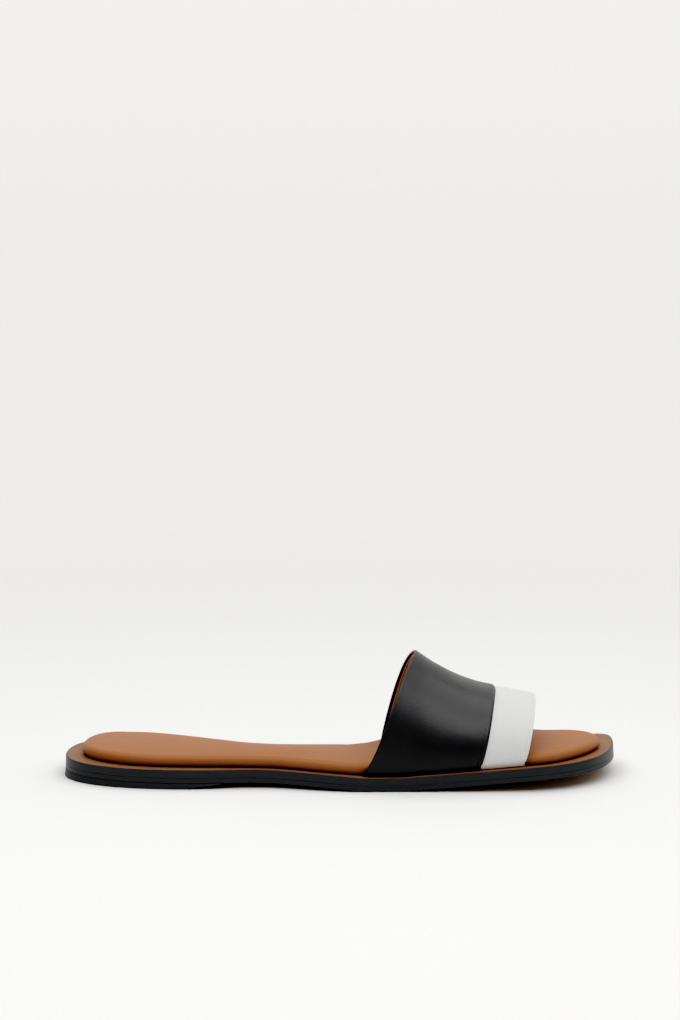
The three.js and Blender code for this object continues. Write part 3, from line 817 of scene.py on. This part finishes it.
def stitchRow(name, edge, way, fromEdge, top, colour, pitch=2.8, stitch=2.3, thick=0.16):
    # Stitches along the band at a fixed way in from an edge. Each is a rod whose radius goes as
    # (1 - (2t - 1)^6)^(1/2) and that rises out of the leather as sin(pi t).
    stops = bandStops(400, False)
    line = edge + way * fromEdge / bandScale(edge, stops)[None]
    spine = bandSurface(line, 0 * line + top, stops)[0]
    above = bandSurface(line, 0 * line + top + 1, stops)[0] - spine
    run = np.concatenate([[0], np.cumsum(np.linalg.norm(np.diff(spine, axis=0), axis=1))])
    count = int((run[-1] - 4) / pitch)
    start = 2.5 + pitch * np.arange(count)[:, None]
    t = np.linspace(0, 1, 9)
    at = start + stitch * t[None]
    centre = np.stack([np.interp(at, run, spine[:, k]) for k in range(3)], -1)
    up = np.stack([np.interp(at, run, above[:, k]) for k in range(3)], -1)
    forward = np.gradient(centre, axis=1)
    forward /= np.linalg.norm(forward, axis=-1, keepdims=True)
    side = np.cross(up, forward)
    centre = centre + up * (thick * (1.1 * np.sin(np.pi * t) - 0.75))[None, :, None]
    radius = thick * np.sqrt(np.clip(1 - (2 * t - 1) ** 6, 0.02, 1))
    turn = np.linspace(0, 2 * np.pi, 9)[:-1]
    ring = up[:, :, None] * np.sin(turn)[:, None] + side[:, :, None] * np.cos(turn)[:, None]
    points = centre[:, :, None] + ring * radius[None, :, None, None]
    grid = np.arange(points[..., 0].size).reshape(points.shape[:3])
    around = np.roll(grid, -1, 2)
    faces = np.stack([grid[:, :-1], grid[:, 1:], around[:, 1:], around[:, :-1]], -1).reshape(-1, 4)
    caps = [*grid[:, 0, ::-1].tolist(), *grid[:, -1].tolist()]
    material, tree = newMaterial(name.replace("_", " "))
    # Waxed thread: two plies laid at a slant, with a dull shine
    place = addNode(tree, "ShaderNodeTexCoord").outputs["Object"]
    plies = addNode(tree, "ShaderNodeTexWave", {"Vector": place, "Scale": 1 / (1.2 * mm), "Distortion": 1})
    bumped = addNode(tree, "ShaderNodeBump", {"Height": plies.outputs["Fac"], "Distance": 0.05 * mm})
    shader = addNode(tree, "ShaderNodeBsdfPrincipled", {"Base Color": linear(colour), "Roughness": 0.55,
                                                        "Specular IOR Level": 0.3, "Normal": bumped.outputs[0]})
    addNode(tree, "ShaderNodeOutputMaterial", {"Surface": shader.outputs["BSDF"]})
    return makePiece(name, points.reshape(-1, 3), faces, [material], caps=caps)


stitchRow("black_seam_stitches", band["seam"], -1, 2.2, darkTop - 0.08, "#2c2c2e", thick=0.13)
stitchRow("white_edge_stitches", 1, -1, 1.7, lightTop - 0.08, "#d7d7d8", thick=0.13)
print("stitches made")

# Studio: white paper lit from overhead, which melts into a pale backdrop; the room behind the camera is dark
studio = {
    "paper": "#f3f3f2", "backdrop": "#eeede9", "upper": "#f2f1ed", "meltFrom": 0.15, "meltTo": 1.0,
    "room": 0.2, "backdropLevel": 1.0, "brightSide": (0.4, 0.92, 0),
    "tentSize": (3.0, 1.8), "tentPlace": (0, 0.5, 1.6), "tentPower": 19,
    "frontSize": (2.9, 1.45), "frontPlace": (0.1, -1.12, 1.6), "frontPower": 26,
    "sheenSize": (3.0, 3.25), "sheenPlace": (0.55, -0.42, 1.59), "sheenPower": 19, "sheenTurn": -30,
}


def makeFloor():
    # A disc whose rings widen outwards, so that its rim is far away
    ring = np.array([0, 0.2, 0.6, 1.5, 4, 12])[:, None]
    turn = np.linspace(0, 2 * np.pi, 65)[None, :-1]
    points = np.stack([ring * np.cos(turn), ring * np.sin(turn), 0 * ring * turn], -1)
    grid = np.arange(points[..., 0].size).reshape(points.shape[:2])
    grid[0] = 0
    around = np.roll(grid, -1, 1)
    faces = np.stack([grid[1:-1], grid[2:], around[2:], around[1:-1]], -1).reshape(-1, 4).tolist()
    faces += np.stack([grid[0], grid[1], around[1]], -1).tolist()
    mesh = bpy.data.meshes.new("floor")
    mesh.from_pydata(points.reshape(-1, 3).tolist(), [], faces)
    material, tree = newMaterial("matt paper sweep")
    place = addNode(tree, "ShaderNodeTexCoord").outputs["Object"]
    away = addNode(tree, "ShaderNodeVectorMath", {0: place}, operation="LENGTH")
    share = addNode(tree, "ShaderNodeMapRange", {"Value": away.outputs["Value"], "From Min": studio["meltFrom"],
                                                 "From Max": studio["meltTo"]}, interpolation_type="SMOOTHSTEP")
    paper = addNode(tree, "ShaderNodeBsdfDiffuse", {"Color": linear(studio["paper"])})
    glow = addNode(tree, "ShaderNodeEmission", {"Color": linear(studio["backdrop"]), "Strength": studio["backdropLevel"]})
    sweep = addNode(tree, "ShaderNodeMixShader", {0: share.outputs["Result"], 1: paper.outputs[0],
                                                  2: glow.outputs[0]})
    addNode(tree, "ShaderNodeOutputMaterial", {"Surface": sweep.outputs[0]})
    mesh.materials.append(material)
    floor = bpy.data.objects.new("floor", mesh)
    bpy.context.scene.collection.objects.link(floor)


def makeLight(name, size, place, power, turn=0, only=()):
    # A rectangle that faces straight down, turned by some degrees; it lights only the pieces in `only`, if any
    light = bpy.data.lights.new(name, "AREA")
    light.shape = "RECTANGLE"
    light.size, light.size_y = size
    light.energy = power
    lamp = bpy.data.objects.new(name, light)
    lamp.location = place
    lamp.rotation_euler = (0, 0, math.radians(turn))
    bpy.context.scene.collection.objects.link(lamp)
    if only:
        receivers = bpy.data.collections.new(name + " receivers")
        for piece in only:
            receivers.objects.link(piece)
        lamp.light_linking.receiver_collection = receivers


makeFloor()
# A white tent overhead, and a brighter softbox above the camera whose lower edge is the line where the black
# leather's sheen ends
makeLight("tent", studio["tentSize"], studio["tentPlace"], studio["tentPower"])
makeLight("front softbox", studio["frontSize"], studio["frontPlace"], studio["frontPower"])
makeLight("sheen card", studio["sheenSize"], studio["sheenPlace"], studio["sheenPower"],
          studio["sheenTurn"], only=[darkLeather])
world = bpy.data.worlds.new("surround")
world.use_nodes = True
room = world.node_tree
room.nodes.clear()
around = addNode(room, "ShaderNodeTexCoord").outputs["Generated"]
direction = addNode(room, "ShaderNodeSeparateXYZ", {0: around})
towards = addNode(room, "ShaderNodeVectorMath", {0: around, 1: studio["brightSide"]}, operation="DOT_PRODUCT")
higher = addNode(room, "ShaderNodeMapRange", {"Value": direction.outputs["Z"], "From Min": 0, "From Max": 0.1})
tone = addNode(room, "ShaderNodeMix", {"Factor": higher.outputs["Result"], 6: linear(studio["backdrop"]),
                                       7: linear(studio["upper"])}, data_type="RGBA")
behind = addNode(room, "ShaderNodeMapRange", {"Value": towards.outputs["Value"], "From Min": -0.2, "From Max": 0.5},
                 interpolation_type="SMOOTHSTEP")
low = addNode(room, "ShaderNodeMapRange", {"Value": direction.outputs["Z"], "From Min": 0.4, "From Max": 0.8,
                                           "To Min": 1, "To Max": 0}, interpolation_type="SMOOTHSTEP")
both = addNode(room, "ShaderNodeMath", {0: behind.outputs["Result"], 1: low.outputs["Result"]}, operation="MULTIPLY")
level = addNode(room, "ShaderNodeMapRange", {"Value": both.outputs[0], "To Min": studio["room"],
                                             "To Max": studio["backdropLevel"]})
surround = addNode(room, "ShaderNodeBackground", {"Color": tone.outputs[2], "Strength": level.outputs["Result"]})
addNode(room, "ShaderNodeOutputWorld", {"Surface": surround.outputs[0]})
bpy.context.scene.world = world

# The photo's own contrast: darks are pressed down as x^4 / (x^3 + toe)
view = bpy.context.scene.view_settings
view.view_transform = "Standard"
view.use_curve_mapping = True
toe = 0.00077
curve = view.curve_mapping.curves[3]
for x in (0.02, 0.04, 0.06, 0.09, 0.13, 0.2, 0.35, 0.6):
    curve.points.new(x, x ** 4 / (x ** 3 + toe))
view.curve_mapping.update()

# Camera: level, seen from the outer side, 13 degrees above the floor at the sandal. The photo is 680 by 1020,
# and the sandal's middle lies low in it.
viewpoint = {"elevation": 13, "distance": 1163, "focal": 2408, "width": 680, "height": 1020,
             "aim": (-0.957, -4.857, 0), "aimPixel": (338.5, 775.5), "sensor": 36}
elevation = math.radians(viewpoint["elevation"])
below = (viewpoint["aimPixel"][1] - viewpoint["height"] / 2) / viewpoint["focal"]
aside = (viewpoint["aimPixel"][0] - viewpoint["width"] / 2) / viewpoint["focal"]
eye = np.array(viewpoint["aim"]) + viewpoint["distance"] * np.array([-aside, -math.cos(elevation), math.sin(elevation)])
lens = bpy.data.cameras.new("camera")
lens.sensor_width = viewpoint["sensor"]
lens.lens = viewpoint["focal"] * viewpoint["sensor"] / viewpoint["height"]
camera = bpy.data.objects.new("camera", lens)
camera.location = (eye * mm).tolist()
camera.rotation_euler = (math.pi / 2 - elevation + math.atan(below), 0, 0)
bpy.context.scene.collection.objects.link(camera)
bpy.context.scene.camera = camera
print("studio and camera made")
